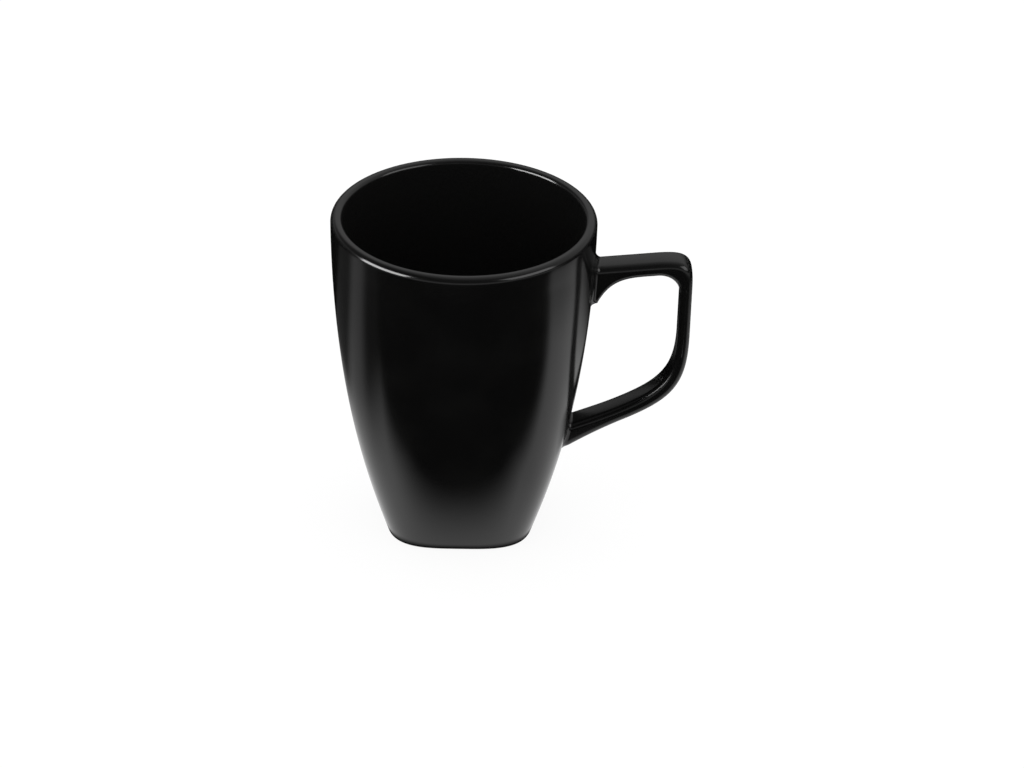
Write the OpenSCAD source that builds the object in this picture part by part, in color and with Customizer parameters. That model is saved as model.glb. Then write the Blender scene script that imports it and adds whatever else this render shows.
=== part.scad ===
// Ceramic mug: a thrown-round rim that tapers to a rounded-square foot, with an angular
// strap handle luted to the wall by two slip joints. Millimetres, +Z up, handle towards +X,
// origin at the centre of the foot, on the plane that the foot stands on.

/* [Cup] */
// Outside diameter of the rim
mouth_d = 82; // [70:1:100]
// Overall height, foot to rim
height = 105; // [87:1:128]
// Width of the foot across its flats
foot_w = 44.7; // [38:0.1:54]
// How square the foot is: 2 is a circle, more is squarer
squareness = 3.4; // [2:0.1:4.4]
// How fast the squareness fades towards the rim
square_fade = 1.45; // [1:0.05:3]
// Lean of the wall at the foot, from vertical
foot_lean = 19.8; // [12:0.1:26]
// Lean of the wall at the rim, from vertical
mouth_lean = 1.2; // [0:0.1:3]
// How far up the lean of the foot is felt
foot_pull = 26.5; // [18:0.5:30]
// How far down the lean of the rim is felt
mouth_pull = 49; // [36:0.5:52]

/* [Wall and floor] */
// Thickness of the wall at the rim
wall = 3.7; // [3:0.1:4.8]
// Rounding of the rim's outer edge
lip_out = 1.8; // [0.8:0.1:1.8]
// Rounding of the rim's inner edge
lip_in = 1.2; // [0.6:0.1:1.2]
// Length of the true cylinder inside the mouth
bore_h = 7; // [4:0.5:9]
// Thickness of the floor
floor_t = 4.2; // [3:0.1:6]
// Inside rounding between wall and floor
floor_r = 9; // [6:0.5:12]

/* [Foot] */
// Depth of the recess under the floor
recess_h = 1.8; // [1:0.1:3]
// Width of the foot ring
ring_w = 4.2; // [3.2:0.1:6]
// Rounding of the foot ring's outer edge
foot_r = 1.5; // [0.6:0.1:1.8]
// Rounding of the foot ring's inner edge
recess_r = 0.8; // [0.4:0.1:1]

/* [Handle] */
// Width of the strap
strap_w = 9.5; // [8:0.1:12]
// Rounding of the strap's edges
strap_r = 1.85; // [0.8:0.05:1.85]
// Thickness of the top bar where it leaves the cup
root_t = 4.8; // [3.8:0.1:5.2]
// Thickness of the top bar at its corner
corner_t = 5; // [4:0.1:6.4]
// Thickness of the grip
grip_t = 4.1; // [3.8:0.1:6]
// Thickness of the lower bar
low_t = 5; // [3.8:0.1:6]
// From the rim out to the middle of the grip's top
reach = 27.8; // [22:0.1:36]
// Drop from the rim to the middle of the upper root
top_drop = 17.2; // [15:0.1:22]
// Rise of the top bar from its root to its corner
top_rise = 2.8; // [0:0.1:5]
// Radius of the top corner on its inside
corner_in_r = 5.8; // [3:0.1:9]
// How square the top corner is on its outside: 2 is round, more is squarer
corner_square = 4.4; // [2:0.1:6]
// Length of the grip's straight part, from the top corner down
grip_l = 24; // [16:0.5:30]
// How far the grip leans in over that length
grip_lean_in = 0.6; // [0:0.1:2]
// How far the grip's line carries into the bend
grip_pull = 20; // [10:0.5:26]
// How far the lower bar's line carries into the bend
low_pull = 28; // [14:0.5:34]
// Height of the middle of the lower root
low_root_z = 31.1; // [25:0.1:38]
// Climb of the lower bar at its root, from level
low_climb = 24.1; // [12:0.1:34]
// How deep the upper root flares downwards
top_flare = 8.1; // [3:0.1:10]
// Length of the top bar that the flare takes
top_flare_l = 20; // [14:0.5:22]
// How much the lower root thickens
low_flare = 2.4; // [0:0.1:4]
// Length of the lower bar that thickens
low_flare_l = 18; // [10:0.5:20]

/* [Slip joints] */
// Thickness of the bed of slip between handle and cup
slip_bed = 0.8; // [0.5:0.1:1.2]
// Reach of the upper fillet over the cup's wall
top_fillet_w = 3.2; // [2:0.1:5]
// Reach of the upper fillet along the handle
top_fillet_h = 2.1; // [1.6:0.1:4]
// Reach of the lower fillet over the cup's wall
low_fillet_w = 2.6; // [2:0.1:5]
// Reach of the lower fillet along the handle
low_fillet_h = 2; // [1.6:0.1:4]
// Reach of both fillets over the wall below the strap
under_fillet_w = 1; // [0.8:0.1:4]

/* [Hidden] */
around = 72;         // steps around the cup
outer_rings = 18;    // steps up the outside of the wall
inner_rings = 14;    // steps down the inside of the wall
edge_steps = 3;      // steps around a small rounding
floor_steps = 5;     // steps around the inside rounding of the floor
seam_gap = 0.02;     // the lofted wall stays this far inside the turned rim
seam_lap = 0.05;     // the turned rim reaches this far down into the lofted wall
flare_power = 4.2;   // how late the upper flare opens
low_power = 1.64;    // how late the lower root thickens
low_outer = 0.7;     // the outer face's share of what the lower root thickens
root_l = 4;          // length of the lower bar that is straight
fillet_turn = 34;    // half the angle that a joint's hollow face turns through
cap_steps = 3;       // steps from the middle of a root's face to its edge

mouth_r = mouth_d / 2;
bore_r = mouth_r - wall;
foot_half = foot_w / 2;
rim_r = min(lip_out, wall / 2);  // the rim's outer rounding, within the wall
seam_z = height - lip_in - bore_h;
floor_z = recess_h + floor_t;
ring_in = foot_half - ring_w;

glaze = [0.06, 0.062, 0.062];
slip = [0.1, 0.1, 0.1];

// ---- the cup's outside, as half-width against height ----
// One cubic curve runs from the foot's corner to just under the rim.
curve = [
    [foot_half, 0],
    [foot_half + foot_pull * sin(foot_lean), foot_pull * cos(foot_lean)],
    [mouth_r - mouth_pull * sin(mouth_lean), height - rim_r - mouth_pull * cos(mouth_lean)],
    [mouth_r, height - rim_r]
];
function curve_at(t) =
    pow(1 - t, 3) * curve[0] + 3 * t * pow(1 - t, 2) * curve[1]
    + 3 * t * t * (1 - t) * curve[2] + pow(t, 3) * curve[3];
// The curve's parameter at a height, by halving the interval.
function curve_t(z, lo = 0, hi = 1, left = 22) =
    left == 0 ? (lo + hi) / 2
    : curve_at((lo + hi) / 2)[1] < z ? curve_t(z, (lo + hi) / 2, hi, left - 1)
    : curve_t(z, lo, (lo + hi) / 2, left - 1);
function half_width(z) = curve_at(curve_t(z))[0];
function lean_at(z) = atan2(half_width(z + 1) - half_width(z - 1), 2);
// The exponent of the section: 2 is a circle, and it grows towards the foot.
function power_at(z) =
    2 + (squareness - 2) * pow(max(0, 1 - max(z, 0) / seam_z), square_fade);

// A ring of the cup at height z: the superellipse of half-width a.
function section_ring(a, z) = [
    for (i = [0 : around - 1])
        let (q = 360 * i / around, n = power_at(z))
        let (r = a / pow(pow(abs(cos(q)), n) + pow(abs(sin(q)), n), 1 / n))
        [r * cos(q), r * sin(q), z]
];

// ---- closed skins made of rings that all have the same number of points ----
function flat(list) = [for (a = list) each a];
function backwards(list) = [for (i = [len(list) - 1 : -1 : 0]) list[i]];
// Each cell between two rings is two triangles, cut along one diagonal or, with other, along
// the other one, so that two skins that share rings share triangles too.
function cell(a, b, c, d, other) = other ? [[a, b, d], [a, d, c]] : [[a, b, c], [b, d, c]];
module loft(start, rings, end, other = false) {
    n = len(rings[0]);
    m = len(rings);
    last = n * m + 1;
    polyhedron(
        points = concat([start], flat(rings), [end]),
        faces = concat(
            [for (i = [0 : n - 1]) [0, 1 + i, 1 + (i + 1) % n]],
            flat([for (j = [0 : m - 2], i = [0 : n - 1])
                let (here = 1 + j * n, next = here + n, k = (i + 1) % n)
                cell(here + i, next + i, here + k, next + k, other)]),
            [for (i = [0 : n - 1]) [last, last - n + (i + 1) % n, last - n + i]]
        )
    );
}

// ---- cup ----
// Half-widths and heights of the rings, from the middle of the recess, round the foot,
// up the outside, over the seam and down the inside to the middle of the floor.
side = half_width(seam_z) - bore_r;              // the wall's thickness at the seam
function inside_width(z) = half_width(z) - side;
foot_back = foot_r * tan((90 - foot_lean) / 2);  // how far the foot's rounding cuts back
round_z = floor_z + floor_r * (1 - sin(lean_at(floor_z + floor_r)));
round_lean = lean_at(round_z);
round_mid = inside_width(round_z) - floor_r * cos(round_lean);

recess_rings = concat(
    [[(ring_in - recess_h) * 0.5, recess_h], [ring_in - recess_h / 2, recess_h]],
    [for (k = [0 : edge_steps])
        let (q = 90 * k / edge_steps)
        [ring_in + recess_r * (1 - cos(q)), recess_r * (1 - sin(q))]]
);
foot_rings = [
    for (k = [0 : edge_steps])
        let (q = -90 + (90 - foot_lean) * k / edge_steps)
        [foot_half - foot_back + foot_r * cos(q), foot_r * (1 + sin(q))]
];
seam_t = curve_t(seam_z);
foot_t = curve_t(foot_back * cos(foot_lean) + 0.8);
outside_rings = [
    for (k = [0 : outer_rings])
        let (p = curve_at(foot_t + (seam_t - foot_t) * k / outer_rings))
        [p[0] - seam_gap * k / outer_rings, k == outer_rings ? seam_z : p[1]]
];
inside_rings = [
    for (k = [0 : inner_rings])
        let (z = seam_z + (round_z - seam_z) * k / inner_rings)
        [inside_width(z) + 2 * seam_gap * (1 - k / inner_rings), z]
];
floor_rings = concat(
    [for (k = [1 : floor_steps])
        let (q = round_lean + (90 - round_lean) * k / floor_steps)
        [round_mid + floor_r * cos(q), floor_z + floor_r * (1 - sin(q))]],
    [[round_mid * 0.5, floor_z]]
);

module lofted_wall() {
    profile = concat(recess_rings, foot_rings, outside_rings, inside_rings, floor_rings);
    loft(
        [0, 0, recess_h],
        [for (p = profile) section_ring(p[0], p[1])],
        [0, 0, floor_z]
    );
}

// The top of the wall is turned: a true cylinder inside, and a rim with two roundings.
module turned_rim() {
    rotate_extrude($fn = 96) {
        polygon(concat(
            [[bore_r, seam_z - seam_lap], [bore_r, height - lip_in], [bore_r + lip_in, height]],
            [[mouth_r - rim_r, height]],
            [for (k = [0 : 3]) curve_at(1 - (1 - seam_t) * k / 3)],
            [[half_width(seam_z), seam_z - seam_lap]]
        ));
        translate([mouth_r - rim_r, height - rim_r]) circle(r = rim_r, $fn = 48);
        translate([bore_r + lip_in, height - lip_in]) circle(r = lip_in, $fn = 48);
    }
}

module cup_body() {
    color(glaze) union() {
        lofted_wall();
        turned_rim();
    }
}

// ---- handle ----
// The route of the strap's middle, [x, z]: a top bar, a tight corner, a straight grip and one
// cubic curve that bends into the lower bar.
function unit(v) = v / norm(v);
function left_of(v) = [-v[1], v[0]];
top_root_z = height - top_drop;
top_root = [half_width(top_root_z), top_root_z];
low_root = [half_width(low_root_z), low_root_z];
corner = [mouth_r + reach, top_root_z + top_rise];
grip_end = corner - [grip_lean_in, grip_l];
top_dir = unit(corner - top_root);
grip_dir = unit(grip_end - corner);
low_dir = [cos(low_climb), sin(low_climb)];
bend = [
    grip_end,
    grip_end + grip_pull * grip_dir,
    low_root + (root_l + low_pull) * low_dir,
    low_root + root_l * low_dir
];
function bend_at(t) =
    pow(1 - t, 3) * bend[0] + 3 * t * pow(1 - t, 2) * bend[1]
    + 3 * t * t * (1 - t) * bend[2] + pow(t, 3) * bend[3];
function bend_heading(t) =
    unit(pow(1 - t, 2) * (bend[1] - bend[0]) + 2 * t * (1 - t) * (bend[2] - bend[1])
        + t * t * (bend[3] - bend[2]));
// A bar is [root point, unit vector away from the cup, unit normal to the strap's outer face].
top_bar = [top_root, top_dir, left_of(top_dir)];
low_bar = [low_root, low_dir, -left_of(low_dir)];

// The strap's section, [across, outwards], grown by e: out and in are its two half-thicknesses.
arc_steps = 4;
flat_steps = 4;
function strap_section(out, in, e = 0) =
    let (y = strap_w / 2 - strap_r, r = strap_r + e, a = out - strap_r, b = in - strap_r)
    let (mid = [[y, a], [-y, a], [-y, -b], [y, -b]])
    flat([for (c = [0 : 3])
        let (arc = [for (k = [0 : arc_steps])
            let (q = 90 * c + 90 * k / arc_steps) mid[c] + r * [cos(q), sin(q)]])
        let (from = arc[arc_steps], to = from + mid[(c + 1) % 4] - mid[c])
        concat(arc, [for (k = [1 : flat_steps - 1]) from + (to - from) * k / flat_steps])
    ]);
// The way that each point of the section faces: 0 is across, 90 is outwards.
facing = flat([for (c = [0 : 3])
    concat([for (k = [0 : arc_steps]) 90 * c + 90 * k / arc_steps],
        [for (k = [1 : flat_steps - 1]) 90 * c + 90])
]);
count = len(facing);

// Half-thicknesses of a bar at s from its root: both open towards the cup.
top_l = norm(corner - top_root);
function opening(s, l, power) = pow(max(0, l - max(s, 0)) / l, power);
function top_half(s) = (root_t + (corner_t - root_t) * max(0, s) / top_l) / 2;
function top_in(s) = top_half(s) + top_flare * opening(s, top_flare_l, flare_power);
function low_grow(s) = low_flare * opening(s, low_flare_l, low_power);
function low_section(s, e, t = low_t) = strap_section(
    t / 2 + low_outer * low_grow(s), t / 2 + (1 - low_outer) * low_grow(s), e);
function bar_section(top, s, e) =
    top ? strap_section(top_half(s), top_in(s), e) : low_section(s, e);

// A point of a bar: s along it, p = [across, outwards].
function bar_point(bar, s, p) =
    let (xz = bar[0] + s * bar[1] + p[1] * bar[2]) [xz[0], p[0], xz[1]];
// How far out the cup's wall is, plus h, at [y, z].
function wall_x(y, z, h) =
    let (n = power_at(z)) pow(pow(half_width(z) + h, n) - pow(abs(y), n), 1 / n);
// The s at which point i of the section, shrunk to k of its size, lies h off the cup's wall.
function land(top, i, e, k, h, s = 0, left = 7) =
    let (bar = top ? top_bar : low_bar, p = k * bar_section(top, s, e)[i])
    let (at = bar_point(bar, s, p))
    left == 0 ? s
    : land(top, i, e, k, h, s + (wall_x(at[1], at[2], h) - at[0]) / bar[1][0], left - 1);
// How far the fillet reaches over the wall at point i: less where the section faces down.
function reach_at(top, i) =
    let (down = max(0, (top ? -1 : 1) * sin(facing[i])), w = top ? top_fillet_w : low_fillet_w)
    w + (under_fillet_w - w) * down * down * (3 - 2 * down);
// A ring of a root that lies h off the wall, wider than the strap by a share of the fillet's
// reach, and shrunk to k of its size.
function root_ring(top, share, h, k = 1) = [
    for (i = [0 : count - 1])
        let (e = share * reach_at(top, i), s = land(top, i, e, k, h))
        bar_point(top ? top_bar : low_bar, s, k * bar_section(top, s, e)[i])
];
function root_middle(top, h) =
    let (bar = top ? top_bar : low_bar, s = h / bar[1][0]) bar_point(bar, s, [0, 0]);
function fillet_h(top) = top ? top_fillet_h : low_fillet_h;
// The face of a root, which sits in the slip.
function root_face(top) = [
    for (k = [1 : cap_steps]) root_ring(top, 0, slip_bed, k / cap_steps)
];

// A ring across a bar that blends from the joint's edge to the end of the straight.
function bar_ring(top, end_s, f) = [
    for (i = [0 : count - 1])
        let (start_s = land(top, i, 0, 1, fillet_h(top)), s = start_s + (end_s - start_s) * f)
        bar_point(top ? top_bar : low_bar, s, bar_section(top, s, 0)[i])
];
// A section set across the route at the point m, with its outer face along the normal v.
function across(m, v, section) = [
    for (p = section) let (xz = m + p[1] * v) [xz[0], p[0], xz[1]]
];
function smooth(f) = f * f * (3 - 2 * f);
turn = acos(top_dir * grip_dir);
corner_r = corner_in_r + (corner_t + grip_t) / 4;
corner_back = corner_r * tan(turn / 2);
corner_mid = corner - corner_back * top_dir - corner_r * left_of(top_dir);
top_end_s = top_l - corner_back;
function corner_ring(f) =
    let (q = atan2(top_dir[1], top_dir[0]) + 90 - turn * f, v = [cos(q), sin(q)])
    let (t = corner_t + (grip_t - corner_t) * smooth(f), m = corner_square)
    let (round = pow(pow(cos(90 * f), m) + pow(sin(90 * f), m), 1 / m))
    across(corner_mid + corner_r * v, v,
        strap_section((corner_r + t / 2) / round - corner_r, t / 2));
function bend_ring(f) =
    let (t = grip_t + (low_t - grip_t) * smooth(min(1, 2 * f)), at = bend_at(f))
    across(at, left_of(bend_heading(f)), low_section(norm(at - low_root), 0, t));

top_steps = 12;
corner_steps = 8;
bend_steps = 22;
low_steps = 3;

module handle() {
    color(glaze) loft(
        root_middle(true, slip_bed),
        concat(
            root_face(true),
            [for (k = [0 : top_steps - 1]) bar_ring(true, top_end_s, k / top_steps)],
            [for (k = [0 : corner_steps]) corner_ring(k / corner_steps)],
            [for (k = [0 : bend_steps]) bend_ring(k / bend_steps)],
            [for (k = [low_steps - 1 : -1 : 0]) bar_ring(false, root_l, k / low_steps)],
            backwards(root_face(false))
        ),
        root_middle(false, slip_bed)
    );
}

// ---- slip joints ----
// A collar of slip: a bed under the root's face and a hollow fillet from the cup to the strap.
fillet_steps = 6;
function fillet_ring(top, f) =
    let (q = fillet_turn * (2 * f - 1))
    let (along = sin(q) / sin(fillet_turn) / 2)
    let (sag = (cos(q) - cos(fillet_turn)) / sin(fillet_turn) / 2)
    root_ring(top, 0.5 - along - sag, fillet_h(top) * (0.5 + along - sag));
module slip_joint(top) {
    rings = concat(
        [for (k = [1 : cap_steps]) root_ring(top, 1, 0, k / (cap_steps + 1))],
        [for (k = [0 : fillet_steps]) fillet_ring(top, k / fillet_steps)],
        backwards(root_face(top))
    );
    // The two bars mirror each other's handedness, so the lower skin is made from its other end.
    color(slip) loft(
        root_middle(top, top ? 0 : slip_bed),
        top ? rings : backwards(rings),
        root_middle(top, top ? slip_bed : 0),
        other = true
    );
}
module upper_slip_joint() { slip_joint(true); }
module lower_slip_joint() { slip_joint(false); }

cup_body();
handle();
upper_slip_joint();
lower_slip_joint();
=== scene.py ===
import math

import bpy
import numpy as np
from mathutils import Matrix, Vector


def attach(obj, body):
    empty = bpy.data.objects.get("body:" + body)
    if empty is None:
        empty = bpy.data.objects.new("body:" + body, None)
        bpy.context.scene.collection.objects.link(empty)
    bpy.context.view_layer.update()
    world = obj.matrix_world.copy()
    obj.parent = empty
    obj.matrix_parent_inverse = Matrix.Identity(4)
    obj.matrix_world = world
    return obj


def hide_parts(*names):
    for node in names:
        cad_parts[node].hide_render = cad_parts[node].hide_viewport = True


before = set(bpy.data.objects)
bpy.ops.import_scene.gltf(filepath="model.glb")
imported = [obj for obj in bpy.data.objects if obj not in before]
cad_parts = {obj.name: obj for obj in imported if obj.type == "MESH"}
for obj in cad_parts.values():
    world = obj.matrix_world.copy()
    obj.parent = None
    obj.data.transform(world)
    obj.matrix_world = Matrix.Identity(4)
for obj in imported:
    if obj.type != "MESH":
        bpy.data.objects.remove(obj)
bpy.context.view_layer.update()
scene = bpy.context.scene
mm = 0.001
print("frame loaded")


class Field:
    # one number that varies over a surface; arithmetic on it adds Math nodes
    def __init__(self, maker, socket):
        self.maker, self.socket = maker, socket

    def maths(self, operation, first, second):
        return self.maker.add("ShaderNodeMath", {"operation": operation}, {0: first, 1: second})

    def __add__(self, other):
        return self.maths("ADD", self, other)

    def __radd__(self, other):
        return self.maths("ADD", other, self)

    def __sub__(self, other):
        return self.maths("SUBTRACT", self, other)

    def __rsub__(self, other):
        return self.maths("SUBTRACT", other, self)

    def __mul__(self, other):
        return self.maths("MULTIPLY", self, other)

    def __rmul__(self, other):
        return self.maths("MULTIPLY", other, self)

    def __pow__(self, other):
        return self.maths("POWER", self, other)

    def __rpow__(self, other):
        return self.maths("POWER", other, self)

    def __abs__(self):
        return self.maths("ABSOLUTE", self, 0.0)

    def above(self, other):
        # the larger of the two
        return self.maths("MAXIMUM", self, other)

    def ramp(self, low, high):
        # 0 below low, 1 above high, smooth between them
        return self.maker.add(
            "ShaderNodeMapRange", {"interpolation_type": "SMOOTHSTEP"},
            {"Value": self, "From Min": low, "From Max": high})


class Maker:
    # builds one node tree
    def __init__(self, owner):
        owner.use_nodes = True
        self.tree = owner.node_tree
        self.tree.nodes.clear()

    def add(self, kind, settings=None, sockets=None, out=0):
        # a node of the given type: its settings first, then the values or links of its sockets;
        # out picks the output that is handed back, and None hands back all of them
        node = self.tree.nodes.new(kind)
        for name, value in (settings or {}).items():
            setattr(node, name, value)
        for name, value in (sockets or {}).items():
            if isinstance(value, Field):
                self.tree.links.new(value.socket, node.inputs[name])
            else:
                node.inputs[name].default_value = value
        if out is None:
            return [Field(self, output) for output in node.outputs]
        return Field(self, node.outputs[out])

    def place(self, centre=(0.0, 0.0, 0.0)):
        # Object coordinates with their zero moved to centre
        coords = self.add("ShaderNodeTexCoord", out="Object")
        return self.add("ShaderNodeMapping", None,
                        {"Vector": coords, "Location": [-c for c in centre]})

    def parts(self, vector):
        return self.add("ShaderNodeSeparateXYZ", None, {0: vector}, out=None)

    def noise(self, vector, scale, detail=2.0, roughness=0.5):
        return self.add("ShaderNodeTexNoise", None,
                        {"Vector": vector, "Scale": scale, "Detail": detail,
                         "Roughness": roughness})

    def colour(self, factor, first, second):
        return self.add("ShaderNodeMix", {"data_type": "RGBA"},
                        {0: factor, 6: first, 7: second}, out=2)

    def blend(self, factor, first, second):
        return self.add("ShaderNodeMixShader", None, {0: factor, 1: first, 2: second})

    def surface(self, shader, kind="ShaderNodeOutputMaterial"):
        self.add(kind, None, {"Surface": shader}, out=None)


def grey(value):
    return (value, value, value, 1.0)


def skin(name, rings, first, last):
    # a closed skin: rings is an array (rings, points, 3), first and last are its end points;
    # face (j, i) joins ring j's points i and i+1 to ring j+1's, and each end is a fan
    m, n = rings.shape[:2]
    verts = np.concatenate([[first], rings.reshape(-1, 3), [last]])
    index = 1 + np.arange(m * n).reshape(m, n)
    right = np.roll(index, -1, axis=1)
    quads = np.stack([index[:-1], index[1:], right[1:], right[:-1]], -1).reshape(-1, 4)
    start = np.stack([np.zeros(n, int), index[0], right[0]], -1)
    end = np.stack([np.full(n, m * n + 1), right[-1], index[-1]], -1)
    loops = np.concatenate([start.ravel(), quads.ravel(), end.ravel()])
    sizes = np.concatenate([np.full(n, 3), np.full(len(quads), 4), np.full(n, 3)])
    mesh = bpy.data.meshes.new(name)
    mesh.vertices.add(len(verts))
    mesh.vertices.foreach_set("co", (verts * mm).astype(np.float32).ravel())
    mesh.loops.add(len(loops))
    mesh.loops.foreach_set("vertex_index", loops.astype(np.int32))
    mesh.polygons.add(len(sizes))
    starts = np.concatenate([[0], np.cumsum(sizes)[:-1]])
    mesh.polygons.foreach_set("loop_start", starts.astype(np.int32))
    mesh.polygons.foreach_set("use_smooth", np.ones(len(sizes), bool))
    mesh.update(calc_edges=True)
    mesh.validate()
    piece = bpy.data.objects.new(name, mesh)
    scene.collection.objects.link(piece)
    return piece


def finished(piece, material, body, node):
    # gives a piece its material and its body, and hides the frame's part for the node it stands for
    piece.data.materials.append(material)
    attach(piece, body)
    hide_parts(node)
    print(piece.name, len(piece.data.polygons), "faces")


def bezier(points, t):
    # a cubic curve: (1-t)^3 a + 3 t (1-t)^2 b + 3 t^2 (1-t) c + t^3 d
    a, b, c, d = [np.asarray(p, float) for p in points]
    t = np.asarray(t, float)[..., None]
    return (1 - t) ** 3 * a + 3 * t * (1 - t) ** 2 * b + 3 * t * t * (1 - t) * c + t ** 3 * d


def unit(v):
    # v over its length
    v = np.asarray(v, float)
    return v / np.linalg.norm(v, axis=-1, keepdims=True)


def leftOf(v):
    # v turned a quarter to the left
    return np.stack([-v[..., 1], v[..., 0]], -1)


def arc(centre, radius, start, end, steps):
    # centre + radius (cos q, sin q), q from start to end in degrees
    q = np.radians(np.linspace(start, end, steps))
    return np.stack([centre[0] + radius * np.cos(q), centre[1] + radius * np.sin(q)], -1)


cup = {
    "mouthRadius": 41.0, "height": 105.0, "footHalf": 22.35,
    "squareness": 3.4, "squareFade": 1.45,
    "footLean": 19.8, "mouthLean": 1.2, "footPull": 26.5, "mouthPull": 49.0,
    "wall": 3.7, "lipOut": 1.8, "lipIn": 1.2, "boreHeight": 7.0,
    "floorZ": 6.0, "floorRound": 9.0,
    "recessDepth": 1.8, "ringWidth": 4.2, "footRound": 1.5,
    "ringEdge": 0.8, "recessCorner": 0.9, "recessInset": 1.5, "recessSlope": 22.0,
    "boreEase": 0.03,  # how softly the wall's inside turns into the straight bore
    "around": 320, "up": 120, "down": 90,
    "lipBlend": 12,  # rings over which the outside's colour turns into the inside's painted lighter one
}
footLean, mouthLean = np.radians(cup["footLean"]), np.radians(cup["mouthLean"])
boreRadius = cup["mouthRadius"] - cup["wall"]
seamZ = cup["height"] - cup["lipIn"] - cup["boreHeight"]
wallTop = cup["height"] - cup["lipOut"]
wallCurve = [
    (cup["footHalf"], 0.0),
    (cup["footHalf"] + cup["footPull"] * np.sin(footLean), cup["footPull"] * np.cos(footLean)),
    (cup["mouthRadius"] - cup["mouthPull"] * np.sin(mouthLean),
     wallTop - cup["mouthPull"] * np.cos(mouthLean)),
    (cup["mouthRadius"], wallTop),
]
wallShares = np.linspace(0, 1, 8001)
wallTable = bezier(wallCurve, wallShares)


def halfWidth(z):
    # the wall's half-width at height z, read off the cubic curve
    return np.interp(z, wallTable[:, 1], wallTable[:, 0])


def powerAt(z):
    # 2 is a circle: 2 + (squareness - 2) (1 - z / seam)^fade
    rise = np.clip(1 - np.maximum(z, 0) / seamZ, 0, 1)
    return 2 + (cup["squareness"] - 2) * rise ** cup["squareFade"]


def leanAt(z):
    # the wall's lean from vertical, in radians, from its half-width a millimetre up and down
    return np.arctan((halfWidth(z + 1) - halfWidth(z - 1)) / 2)


def cupProfile():
    # (half-width, height) from the middle of the recess, under the foot, up the outside,
    # over the lip, down the inside and to the middle of the floor
    ringIn = cup["footHalf"] - cup["ringWidth"]
    recessHalf = ringIn - cup["recessInset"]
    recess = np.array([[f * recessHalf, cup["recessDepth"]] for f in (0.25, 0.5, 0.75, 0.95)])
    slope = cup["recessSlope"]
    recessTop = arc((recessHalf, cup["recessDepth"] - cup["recessCorner"]), cup["recessCorner"],
                    90, slope, 9)
    recessEdge = arc((ringIn + cup["ringEdge"], cup["ringEdge"]), cup["ringEdge"],
                     180 + slope, 270, 9)
    back = cup["footRound"] * np.tan((np.pi / 2 - footLean) / 2)
    flat = np.stack([np.linspace(ringIn + 1.0, cup["footHalf"] - back - 0.2, 7), np.zeros(7)], -1)
    footEdge = arc((cup["footHalf"] - back, cup["footRound"]), cup["footRound"],
                   -90, -cup["footLean"], 14)
    fromZ = back * np.cos(footLean) + 0.25
    startT = np.interp(fromZ, wallTable[:, 1], wallShares)
    outside = bezier(wallCurve, np.linspace(startT, 1, cup["up"]))
    lipOuter = arc((cup["mouthRadius"] - cup["lipOut"], wallTop), cup["lipOut"], 3, 90, 16)
    lipInner = arc((boreRadius + cup["lipIn"], cup["height"] - cup["lipIn"]), cup["lipIn"],
                   97, 177, 13)
    # the inside follows the outside less the wall, and eases into the straight bore
    side = halfWidth(seamZ) - boreRadius
    roundZ = cup["floorZ"] + cup["floorRound"]
    lean = leanAt(roundZ)
    roundZ = cup["floorZ"] + cup["floorRound"] * (1 - np.sin(lean))
    z = np.linspace(cup["height"] - cup["lipIn"] - 0.2, roundZ, cup["down"])
    ease = cup["boreEase"]
    taper = (seamZ - z) * np.tan(leanAt(seamZ))
    soft = ease * np.log1p(np.exp(-np.abs(taper) / ease)) + np.maximum(taper, 0)
    inside = np.minimum(halfWidth(np.minimum(z, seamZ)) - side, boreRadius)
    inside = np.stack([inside - (soft - np.maximum(taper, 0)), z], -1)
    mid = (inside[-1, 0] - cup["floorRound"] * np.cos(lean),
           cup["floorZ"] + cup["floorRound"])
    q = np.linspace(lean, np.pi / 2, 26)[1:]
    floorTurn = np.stack([mid[0] + cup["floorRound"] * np.cos(q),
                          mid[1] - cup["floorRound"] * np.sin(q)], -1)
    floorFlat = np.stack([mid[0] * np.linspace(0.9, 0.1, 7), np.full(7, cup["floorZ"])], -1)
    return np.concatenate([recess, recessTop, recessEdge, flat, footEdge, outside, lipOuter,
                           lipInner, inside, floorTurn, floorFlat])


def cupRings(profile):
    # superellipse rings: r(q) = a / (|cos q|^n + |sin q|^n)^(1/n), with n from the height
    q = np.linspace(0, 2 * np.pi, cup["around"], endpoint=False)
    a, z = profile[:, :1], profile[:, 1:]
    n = powerAt(z)
    r = a / (np.abs(np.cos(q)) ** n + np.abs(np.sin(q)) ** n) ** (1 / n)
    return np.stack([r * np.cos(q), r * np.sin(q), z + 0 * r], -1)


strap = {
    "width": 9.5, "edge": 1.85, "rootThick": 4.8, "cornerThick": 5.0, "gripThick": 4.1,
    "lowThick": 5.0, "reach": 27.8, "topDrop": 17.2, "topRise": 2.8,
    "cornerInner": 5.8, "cornerSquare": 4.4, "gripLength": 24.0, "gripLean": 0.6,
    "gripPull": 20.0, "lowPull": 28.0, "lowRootZ": 31.1, "lowClimb": 24.1,
    "topFlare": 8.1, "topFlareLength": 20.0, "topFlarePower": 4.2,
    "lowFlare": 2.4, "lowFlareLength": 18.0, "lowFlarePower": 1.64, "lowOuterShare": 0.7,
    "straightRoot": 4.0, "crown": 0.28, "edgeSteps": 12, "flatSteps": 8,
    "topRings": 110, "cornerRings": 64, "gripRings": 60, "bendRings": 190, "lowRings": 18,
}
joint = {"bed": 0.8, "topWide": 3.2, "topHigh": 2.1, "lowWide": 2.6, "lowHigh": 2.0,
         "underWide": 1.0, "steps": 22, "sink": 0.04}

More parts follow.
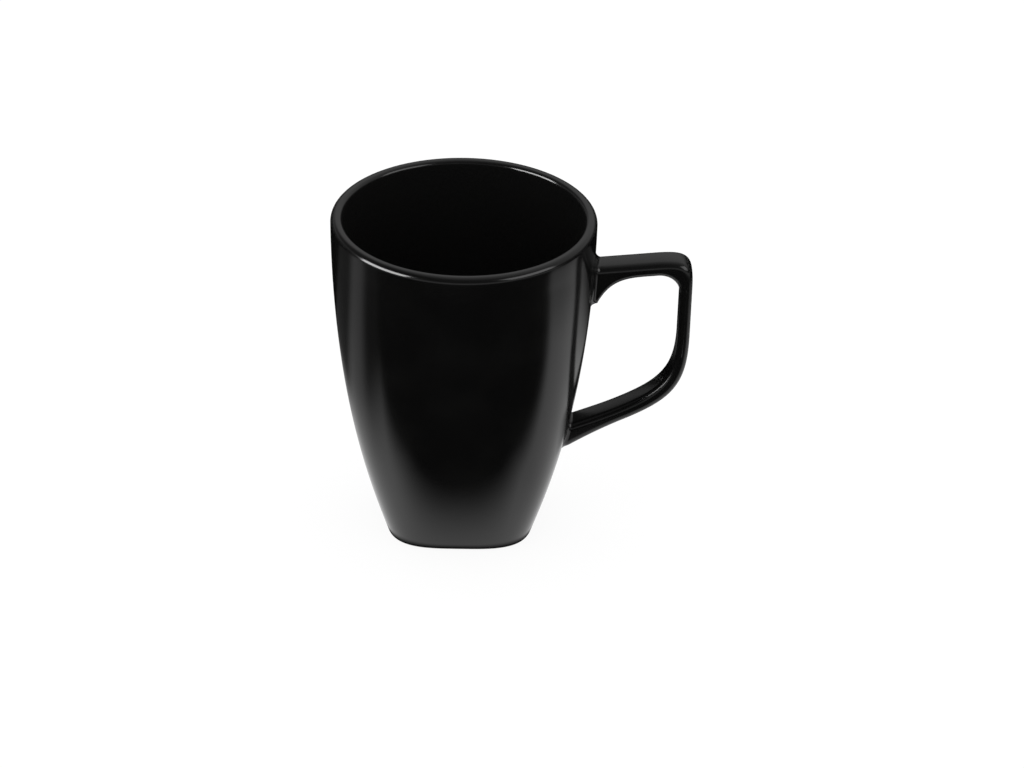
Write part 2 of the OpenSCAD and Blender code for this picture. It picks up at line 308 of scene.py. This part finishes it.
topRoot = np.array([halfWidth(cup["height"] - strap["topDrop"]), cup["height"] - strap["topDrop"]])
lowRoot = np.array([halfWidth(strap["lowRootZ"]), strap["lowRootZ"]])
corner = np.array([cup["mouthRadius"] + strap["reach"], topRoot[1] + strap["topRise"]])
gripEnd = corner - np.array([strap["gripLean"], strap["gripLength"]])
topWay, gripWay = unit(corner - topRoot), unit(gripEnd - corner)
climb = np.radians(strap["lowClimb"])
lowWay = np.array([np.cos(climb), np.sin(climb)])
bendCurve = [gripEnd, gripEnd + strap["gripPull"] * gripWay,
             lowRoot + (strap["straightRoot"] + strap["lowPull"]) * lowWay,
             lowRoot + strap["straightRoot"] * lowWay]
# a bar is its root, its direction away from the cup and the normal of its outer face
topBar = (topRoot, topWay, leftOf(topWay))
lowBar = (lowRoot, lowWay, -leftOf(lowWay))
topLength = np.linalg.norm(corner - topRoot)


def sectionGuide():
    # round the strap's section: side is 1 to -1 across, up is 1 on the outer face and 0 on the
    # inner one, and facing is the way the surface looks, in radians from across to outwards
    side, up, facing = [], [], []
    ends = [(1, 1), (-1, 1), (-1, 0), (1, 0), (1, 1)]
    for c in range(4):
        turn = np.linspace(c, c + 1, strap["edgeSteps"] + 1) * np.pi / 2
        share = np.arange(1, strap["flatSteps"]) / strap["flatSteps"]
        here, there = ends[c], ends[c + 1]
        side += [np.full(len(turn), here[0]), here[0] + (there[0] - here[0]) * share]
        up += [np.full(len(turn), here[1]), here[1] + (there[1] - here[1]) * share]
        facing += [turn, np.full(len(share), turn[-1])]
    return [np.concatenate(part).astype(float) for part in (side, up, facing)]


guideSide, guideUp, guideFacing = sectionGuide()


def strapSection(out, inn, grow=0.0):
    # [across, outwards] of a rounded rectangle with half-thicknesses out and inn:
    # (side (w/2 - r) + (r + grow) cos f, up (out - r) - (1 - up) (inn - r) + (r + grow) sin f)
    r = strap["edge"]
    across = guideSide * (strap["width"] / 2 - r) + (r + grow) * np.cos(guideFacing)
    outwards = (guideUp * (out - r) - (1 - guideUp) * (inn - r)
                + (r + grow) * np.sin(guideFacing))
    # both broad faces are slightly domed: they fall by crown (across / half the width)^2
    fall = strap["crown"] * np.minimum(1, np.abs(across) / (strap["width"] / 2)) ** 2
    outwards = outwards - (2 * guideUp - 1) * fall
    return across + 0 * outwards, outwards


def opening(s, length, power):
    # how far a root has opened at s: (1 - s / length)^power, held at its most inside the cup
    return (np.maximum(0, length - np.maximum(s, 0)) / length) ** power


def topHalf(s):
    # half the top bar's thickness at s, on a straight line from its root to its corner
    return (strap["rootThick"]
            + (strap["cornerThick"] - strap["rootThick"]) * np.maximum(0, s) / topLength) / 2


def topSection(s, grow=0.0):
    # the top bar's section at s: its inner face goes down by flare (1 - s / length)^power
    flare = strap["topFlare"] * opening(s, strap["topFlareLength"], strap["topFlarePower"])
    return strapSection(topHalf(s), topHalf(s) + flare, grow)


def lowSection(s, grow=0.0, thick=None):
    # the lower bar's section at s: both faces open by their share of the same kind of flare
    thick = strap["lowThick"] if thick is None else thick
    more = strap["lowFlare"] * opening(s, strap["lowFlareLength"], strap["lowFlarePower"])
    share = strap["lowOuterShare"]
    return strapSection(thick / 2 + share * more, thick / 2 + (1 - share) * more, grow)


def onBar(bar, s, across, outwards):
    # root + s direction + outwards normal, with across as y
    root, way, normal = bar
    return np.stack([root[0] + s * way[0] + outwards * normal[0], across + 0 * s,
                     root[1] + s * way[1] + outwards * normal[1]], -1)


def wallX(y, z, h):
    # how far out the cup's wall is at (y, z), grown by h
    n = powerAt(z)
    return ((halfWidth(z) + h) ** n - np.abs(y) ** n) ** (1 / n)


def landed(bar, section, grow, shrink, h):
    # the ring where a bar's section, grown and then shrunk, lies h off the cup's wall:
    # s is stepped by (wall x - x) / direction x until the two agree
    s = np.zeros(np.broadcast_shapes(np.shape(grow), np.shape(shrink), np.shape(h),
                                     guideFacing.shape))
    for _ in range(14):
        across, outwards = section(s, grow)
        at = onBar(bar, s, shrink * across, shrink * outwards)
        s = s + (wallX(at[..., 1], at[..., 2], h) - at[..., 0]) / bar[1][0]
    across, outwards = section(s, grow)
    return s, onBar(bar, s, shrink * across, shrink * outwards)


def rootFace(bar, section, h, steps=5):
    # a root's end: rings of the section shrunk to 1/5, 2/5 ... 1, all h off the cup's wall
    shrink = np.arange(1, steps + 1)[:, None] / steps
    return landed(bar, section, 0.0, shrink, h)[1]


def barRings(bar, section, endS, shares):
    # rings along a bar, at s = start + share (end - start), where start lies on the slip's bed
    start, _ = landed(bar, section, 0.0, 1.0, joint["bed"])
    s = start + (endS - start) * shares[:, None]
    return onBar(bar, s, *section(s))


def across(middle, normal, section):
    # sections set across the route at middle, with the outer face along normal
    y, out = section
    return np.stack([middle[:, :1] + out * normal[:, :1], y, middle[:, 1:] + out * normal[:, 1:]],
                    -1)


def smooth(f):
    # 3 f^2 - 2 f^3, which eases in and out between 0 and 1
    return f * f * (3 - 2 * f)


def handleRings():
    # the whole strap as one run of sections, from the upper root's end to the lower root's
    turn = np.arccos(topWay @ gripWay)
    cornerRadius = strap["cornerInner"] + (strap["cornerThick"] + strap["gripThick"]) / 4
    back = cornerRadius * np.tan(turn / 2)
    mid = corner - back * topWay - cornerRadius * leftOf(topWay)
    topEnd = topLength - back
    shares = np.linspace(0, 1, strap["topRings"])[1:-1]
    top = barRings(topBar, topSection, topEnd, shares ** 1.15)
    # the corner is an arc, and its outer face swells to a squarer one:
    # out = (R + t/2) / (cos^m + sin^m)^(1/m) - R
    f = np.linspace(0, 1, strap["cornerRings"])[:, None]
    q = np.arctan2(topWay[1], topWay[0]) + np.pi / 2 - turn * f
    normal = np.concatenate([np.cos(q), np.sin(q)], 1)
    startThick = 2 * topHalf(topEnd)
    thick = startThick + (strap["gripThick"] - startThick) * smooth(f)
    m = strap["cornerSquare"]
    square = (np.cos(f * np.pi / 2) ** m + np.sin(f * np.pi / 2) ** m) ** (1 / m)
    bend = across(mid + cornerRadius * normal, normal,
                  strapSection((cornerRadius + thick / 2) / square - cornerRadius, thick / 2))
    # the grip is straight, and the lower bend is the cubic curve with its heading from
    # points a little before and after
    t = np.linspace(0, 1, strap["bendRings"])[1:, None]
    at = bezier(bendCurve, t[:, 0])
    step = 1e-4
    way = unit(bezier(bendCurve, t[:, 0] + step) - bezier(bendCurve, t[:, 0] - step))
    thick = strap["gripThick"] + (strap["lowThick"] - strap["gripThick"]) * smooth(
        np.minimum(1, 2 * t))
    fromRoot = np.linalg.norm(at - lowRoot, axis=1)[:, None]
    straight = np.linspace(0, 1, strap["gripRings"])[1:-1, None]
    gripStart = corner + back * gripWay
    gripMid = gripStart + straight * (gripEnd - gripStart)
    gripNormal = np.repeat([leftOf(gripWay)], len(gripMid), 0)
    plain = strapSection(strap["gripThick"] / 2 + 0 * straight, strap["gripThick"] / 2)
    grip = across(gripMid, gripNormal, plain)
    lowBend = across(at, leftOf(way), lowSection(fromRoot, 0.0, thick))
    low = barRings(lowBar, lowSection, strap["straightRoot"],
                   np.linspace(1, 0, strap["lowRings"])[1:-1])
    return np.concatenate([
        rootFace(topBar, topSection, joint["bed"]), top, bend, grip, lowBend, low,
        rootFace(lowBar, lowSection, joint["bed"])[::-1]])


def rootMiddle(bar, h):
    # the middle of a root, about h off the cup's wall
    return onBar(bar, np.array(h / bar[1][0]), np.array(0.0), np.array(0.0))


def jointRings(bar, section, wide, high, down):
    # a collar round a root: the wall side from the middle out, then a hollow quarter of an
    # ellipse, e = reach (1 - sin q), h = high (1 - cos q), from the wall up to the strap
    under = np.maximum(0, down * np.sin(guideFacing))
    reach = wide + (joint["underWide"] - wide) * smooth(under)
    shrink = np.arange(1, 6)[:, None] / 6
    wallSide = landed(bar, section, reach, shrink, -joint["sink"])[1]
    q = np.linspace(0, np.pi / 2, joint["steps"])[:, None]
    grow = reach * (1 - np.sin(q)) - joint["sink"] * np.sin(q)
    hollow = landed(bar, section, grow, 1.0, high * (1 - np.cos(q)) - joint["sink"] * np.cos(q))[1]
    return np.concatenate([wallSide, hollow, rootFace(bar, section, joint["bed"])[::-1]])


# colours are linear, scales are in waves a metre, lifts in millimetres and bare heights in metres
glaze = {
    "black": (0.0022, 0.0022, 0.0022, 1.0), "cloud": (0.0032, 0.0032, 0.0031, 1.0),
    # inside is a painted lighter black, for the light that falls into the cup
    "inside": (0.0062, 0.0062, 0.0061, 1.0), "speck": (0.03, 0.029, 0.027, 1.0),
    "clay": (0.42, 0.37, 0.31, 1.0), "clayDark": (0.30, 0.255, 0.205, 1.0),
    "roughness": 0.15, "handleRougher": 0.04, "slipRougher": 0.02, "ior": 1.5,
    "cloudScale": 55.0, "cloudRough": 0.05, "grainScale": 2600.0, "grainRough": 0.03,
    "grainLift": 0.0004, "peelScale": 210.0, "peelLift": 0.006, "waveScale": 38.0,
    "waveLift": 0.03, "speckScale": 95.0, "speckPick": 61.0, "speckRough": 0.3,
    "speckLift": 0.02, "brushScale": 420.0, "brushRough": 0.05, "brushLift": 0.012,
    "bareBelow": 0.0002, "bareFull": 0.0003, "bareWobble": 0.00022, "bareRough": 0.62,
    "clayScale": 900.0, "clayLift": 0.05, "glazeLift": 0.06,
}


def glazeMaterial(name, centre, roughness, isCup=False, isSlip=False):
    # a black satin glaze with soft clouds, a few specks, a faint orange peel and long waves
    material = bpy.data.materials.new(name)
    maker = Maker(material)
    place = maker.place(centre)
    height = maker.parts(place)[2]
    cloud = maker.noise(place, glaze["cloudScale"], 3.0)
    grain = maker.noise(place, glaze["grainScale"], 2.0, 0.6)
    peel = maker.noise(place, glaze["peelScale"], 1.0, 0.4)
    wave = maker.noise(place, glaze["waveScale"], 1.0, 0.4)
    cell = maker.add("ShaderNodeTexVoronoi", None,
                     {"Vector": place, "Scale": glaze["speckScale"], "Randomness": 1.0},
                     out="Distance")
    pick = maker.noise(place, glaze["speckPick"], 0.0).ramp(0.66, 0.70)
    speck = (1 - cell.ramp(0.012, 0.03)) * pick
    tint = maker.colour(cloud.ramp(0.35, 0.7), glaze["black"], glaze["cloud"])
    tint = maker.colour(speck, tint, glaze["speck"])
    rough = (roughness + (cloud - 0.5) * glaze["cloudRough"]
             + (grain - 0.5) * glaze["grainRough"] + speck * glaze["speckRough"])
    lift = (peel * glaze["peelLift"] + wave * glaze["waveLift"] + grain * glaze["grainLift"]
            + speck * glaze["speckLift"])
    if isSlip:
        # faint swirls, as a damp brush leaves on slip
        swirl = maker.add("ShaderNodeTexNoise", None,
                          {"Vector": place, "Scale": glaze["brushScale"], "Detail": 2.0,
                           "Distortion": 1.2})
        rough = rough + (swirl - 0.5) * glaze["brushRough"]
        lift = lift + swirl * glaze["brushLift"]
    if isCup:
        # the inside is painted lighter to stand for light falling into the cup, and the foot ring is
        # wiped bare
        inside = maker.add("ShaderNodeAttribute", {"attribute_name": "inside"}, out="Fac")
        tint = maker.colour(inside, tint, glaze["inside"])
        wobble = (maker.noise(place, 320.0, 2.0) - 0.5) * glaze["bareWobble"]
        bare = 1 - (height + wobble).ramp(glaze["bareBelow"], glaze["bareFull"])
        clay = maker.colour(maker.noise(place, glaze["clayScale"], 4.0, 0.65).ramp(0.35, 0.68),
                            glaze["clay"], glaze["clayDark"])
        tint = maker.colour(bare, tint, clay)
        rough = rough + bare * glaze["bareRough"]
        lift = lift * (1 - bare) + bare * grain * glaze["clayLift"] - bare * glaze["glazeLift"]
    bump = maker.add("ShaderNodeBump", None, {"Height": lift, "Distance": mm, "Strength": 1.0})
    shader = maker.add("ShaderNodeBsdfPrincipled", None,
                       {"Base Color": tint, "Roughness": rough, "Normal": bump,
                        "IOR": glaze["ior"]})
    maker.surface(shader)
    return material


def markInside(piece, profile):
    # a point attribute: 0 outside the cup and 1 inside it, changing over the top of the lip
    lipTop = int(np.argmax(profile[:, 1]))
    share = np.clip((np.arange(len(profile)) - lipTop) / cup["lipBlend"], 0, 1)
    values = np.concatenate([[0], np.repeat(share, cup["around"]), [1]])
    mark = piece.data.attributes.new("inside", "FLOAT", "POINT")
    mark.data.foreach_set("value", values.astype(np.float32))


bodyName = "root"
profile = cupProfile()
glazedCup = skin("glazed_cup", cupRings(profile), (0, 0, cup["recessDepth"]), (0, 0, cup["floorZ"]))
markInside(glazedCup, profile)
finished(glazedCup, glazeMaterial("black_satin_glaze", (0, 0, 0), glaze["roughness"], isCup=True),
         bodyName, "cup_body")

glazedHandle = skin("glazed_handle", handleRings(), rootMiddle(topBar, joint["bed"]),
                    rootMiddle(lowBar, joint["bed"]))
finished(glazedHandle, glazeMaterial("black_satin_glaze_handle", (0.055, 0, 0.06),
                                     glaze["roughness"] + glaze["handleRougher"]),
         bodyName, "handle")

glazedSlip = glazeMaterial("glazed_slip", (0.04, 0, 0.06),
                           glaze["roughness"] + glaze["slipRougher"], isSlip=True)
upperRings = jointRings(topBar, topSection, joint["topWide"], joint["topHigh"], -1)
upperSlip = skin("glazed_upper_slip", upperRings, rootMiddle(topBar, -joint["sink"]),
                 rootMiddle(topBar, joint["bed"]))
finished(upperSlip, glazedSlip, bodyName, "upper_slip_joint")
# the two bars mirror each other's handedness, so the lower skin starts from its other end
lowerRings = jointRings(lowBar, lowSection, joint["lowWide"], joint["lowHigh"], 1)[::-1]
lowerSlip = skin("glazed_lower_slip", lowerRings, rootMiddle(lowBar, joint["bed"]),
                 rootMiddle(lowBar, -joint["sink"]))
finished(lowerSlip, glazedSlip, bodyName, "lower_slip_joint")

# sizes are in metres, angles in degrees and powers in watts; the world has one strength as seen,
# one for diffuse light, and for reflections a back, a front, a gap on the left and a horizon
stage = {
    "floorSize": 3.0, "floorTint": 0.12, "floorGlow": 0.9, "reflectionSheetSize": 2.4, "reflectionSheetZ": 0.0006,
    "worldSeen": 1.0, "worldDiffuse": 1.1, "back": 0.48, "front": 0.07, "gap": 0.8,
    "horizon": 0.35,
    "key": {"turn": -69.0, "rise": 16.0, "away": 1.2, "wide": 0.95, "high": 0.66, "power": 22.0},
    "fill": {"turn": 60.0, "rise": 30.0, "away": 1.2, "wide": 0.9, "high": 0.7, "power": 4.0},
}


def plate(name, size, z):
    # a level square about the origin, at height z
    half = size / 2
    mesh = bpy.data.meshes.new(name)
    mesh.from_pydata([(-half, -half, z), (half, -half, z), (half, half, z), (-half, half, z)],
                     [], [(0, 1, 2, 3)])
    piece = bpy.data.objects.new(name, mesh)
    scene.collection.objects.link(piece)
    return piece


def floorMaterial():
    # pale above, and clear from below so that the foot can be looked at
    material = bpy.data.materials.new("pale_floor")
    maker = Maker(material)
    below = maker.add("ShaderNodeNewGeometry", out="Backfacing")
    clear = maker.add("ShaderNodeBsdfTransparent")
    pale = maker.add("ShaderNodeBsdfDiffuse", None, {"Color": grey(stage["floorTint"])})
    glow = maker.add("ShaderNodeEmission", None, {"Color": grey(1.0),
                                                  "Strength": stage["floorGlow"]})
    pale = maker.add("ShaderNodeAddShader", None, {0: pale, 1: glow})
    maker.surface(maker.blend(below, pale, clear))
    return material


def reflectionSheetMaterial():
    # a soft-edged sheet of painted dark reflection: thick in front of the mug, to its left and far
    # behind it, thin to its right and clear round its foot, with a narrow line of painted contact
    # shadow where the foot meets the floor
    material = bpy.data.materials.new("painted_dark_reflection")
    maker = Maker(material)
    x, y = maker.parts(maker.place())[:2]
    nearEdge = abs(x).ramp(0.0, 0.045) * 0.014
    front = (0 - y - nearEdge).ramp(0.018, 0.049)
    slant = 0 - x + y * 0.45
    stripe = 1 - abs(y - 0.022).ramp(0.012, 0.045)
    left = slant.ramp(0.02, 0.125) * (0.95 - stripe * 0.3)
    right = (x.ramp(0.01, 0.05) * 0.2).above(x.ramp(0.11, 0.28))
    behind = y.ramp(0.01, 0.13)
    # painted shade under the handle, seen in reflections
    paintedShadeUnderHandle = x.ramp(0.040, 0.058) * (1 - x.ramp(0.074, 0.09)) * y.ramp(0.0, 0.045)
    # distance in the measure of the foot's rounded square: (|x|^3.4 + |y|^3.4)^(1/3.4)
    reach = (abs(x) ** 3.4 + abs(y) ** 3.4) ** (1 / 3.4)
    # painted contact shadow, seen in reflections: dark just round the foot
    paintedContactShadow = 1 - reach.ramp(0.0226, 0.0243)
    farOff = (0 - y).ramp(0.0, 0.1) * reach.ramp(0.2, 0.5) * 0.45
    dark = front.above(left).above(right).above(behind).above(paintedShadeUnderHandle)
    dark = dark.above(paintedContactShadow) - farOff
    clear = maker.add("ShaderNodeBsdfTransparent")
    # black emission: the painted dark reflection wherever the mask is dark
    paintedDark = maker.add("ShaderNodeEmission", None, {"Color": grey(0.0), "Strength": 1.0})
    maker.surface(maker.blend(dark, clear, paintedDark))
    return material


floor = plate("floor", stage["floorSize"], 0.0)
floor.data.materials.append(floorMaterial())
# hidden from the camera, from diffuse light and from shadows, this sheet only paints dark reflections
# into the glaze
reflectionSheet = plate("reflectionSheet", stage["reflectionSheetSize"], stage["reflectionSheetZ"])
reflectionSheet.data.materials.append(reflectionSheetMaterial())
reflectionSheet.visible_camera = reflectionSheet.visible_diffuse = reflectionSheet.visible_shadow = False
reflectionSheet.visible_transmission = False


def softbox(name, turn, rise, away, wide, high, power):
    # turn is the compass angle from the camera's side, towards +X, and rise the height angle
    turn, rise = math.radians(turn), math.radians(rise)
    data = bpy.data.lights.new(name, "AREA")
    data.shape = "RECTANGLE"
    data.size, data.size_y = wide, high
    data.energy = power
    lamp = bpy.data.objects.new(name, data)
    lamp.visible_diffuse = False
    scene.collection.objects.link(lamp)
    way = Vector((math.sin(turn) * math.cos(rise), -math.cos(turn) * math.cos(rise),
                  math.sin(rise)))
    lamp.location = Vector((0.0, 0.0, 0.06)) + away * way
    lamp.rotation_mode = "QUATERNION"
    lamp.rotation_quaternion = way.to_track_quat("Z", "Y")


def lightRoom():
    world = bpy.data.worlds.new("studio")
    scene.world = world
    maker = Maker(world)
    x, y, z = maker.parts(maker.add("ShaderNodeTexCoord", out="Generated"))
    seen = maker.add("ShaderNodeLightPath", out="Is Camera Ray")
    shiny = maker.add("ShaderNodeLightPath", out="Is Glossy Ray")
    # in reflections the room is bright behind the mug from a little above the floor, dim in front
    # and dark high on the left
    room = stage["front"] + y.ramp(-0.7, 0.6) * (stage["back"] - stage["front"])
    room = room * z.ramp(0.03, 0.44)
    room = room * (1 - (0 - x).ramp(0.0, 0.5) * z.ramp(0.15, 0.5) * stage["gap"])
    room = room + (0 - y).ramp(0.2, 0.8) * (1 - abs(z).ramp(0.05, 0.3)) * stage["horizon"]
    strength = stage["worldDiffuse"] + seen * (stage["worldSeen"] - stage["worldDiffuse"])
    strength = strength + shiny * (room - stage["worldDiffuse"])
    maker.surface(maker.add("ShaderNodeBackground", None, {"Color": grey(1.0), "Strength": strength}),
                  "ShaderNodeOutputWorld")


softbox("key", **stage["key"])
softbox("fill", **stage["fill"])
lightRoom()
print("stage made")

# angles in degrees, lens and sensor in millimetres, the rest in metres
view = {"elevation": 28.76, "roll": 0.85, "distance": 2.5, "lens": 283.8, "sensor": 36.0,
        "pivot": (0.0, 0.0, 0.052), "aside": 0.01556, "below": 0.00477}


def setCamera():
    tilt, roll = math.radians(view["elevation"]), math.radians(view["roll"])
    back = Vector((0, -math.cos(tilt), math.sin(tilt)))
    level = Vector((1, 0, 0))
    rise = back.cross(level)
    side = math.cos(roll) * level + math.sin(roll) * rise
    rise = -math.sin(roll) * level + math.cos(roll) * rise
    at = Vector(view["pivot"]) + view["distance"] * back
    aim = Vector(view["pivot"]) + view["aside"] * side - view["below"] * rise
    axis = (at - aim).normalized()
    side = (side - side.dot(axis) * axis).normalized()
    rise = axis.cross(side)
    cameraData = bpy.data.cameras.new("camera")
    cameraData.lens, cameraData.sensor_width = view["lens"], view["sensor"]
    cameraData.clip_start, cameraData.clip_end = 0.1, 20.0
    camera = bpy.data.objects.new("camera", cameraData)
    scene.collection.objects.link(camera)
    camera.matrix_world = Matrix.Translation(at) @ Matrix((side, rise, axis)).transposed().to_4x4()
    scene.camera = camera
    scene.view_settings.view_transform = "Standard"


setCamera()
print("camera set")
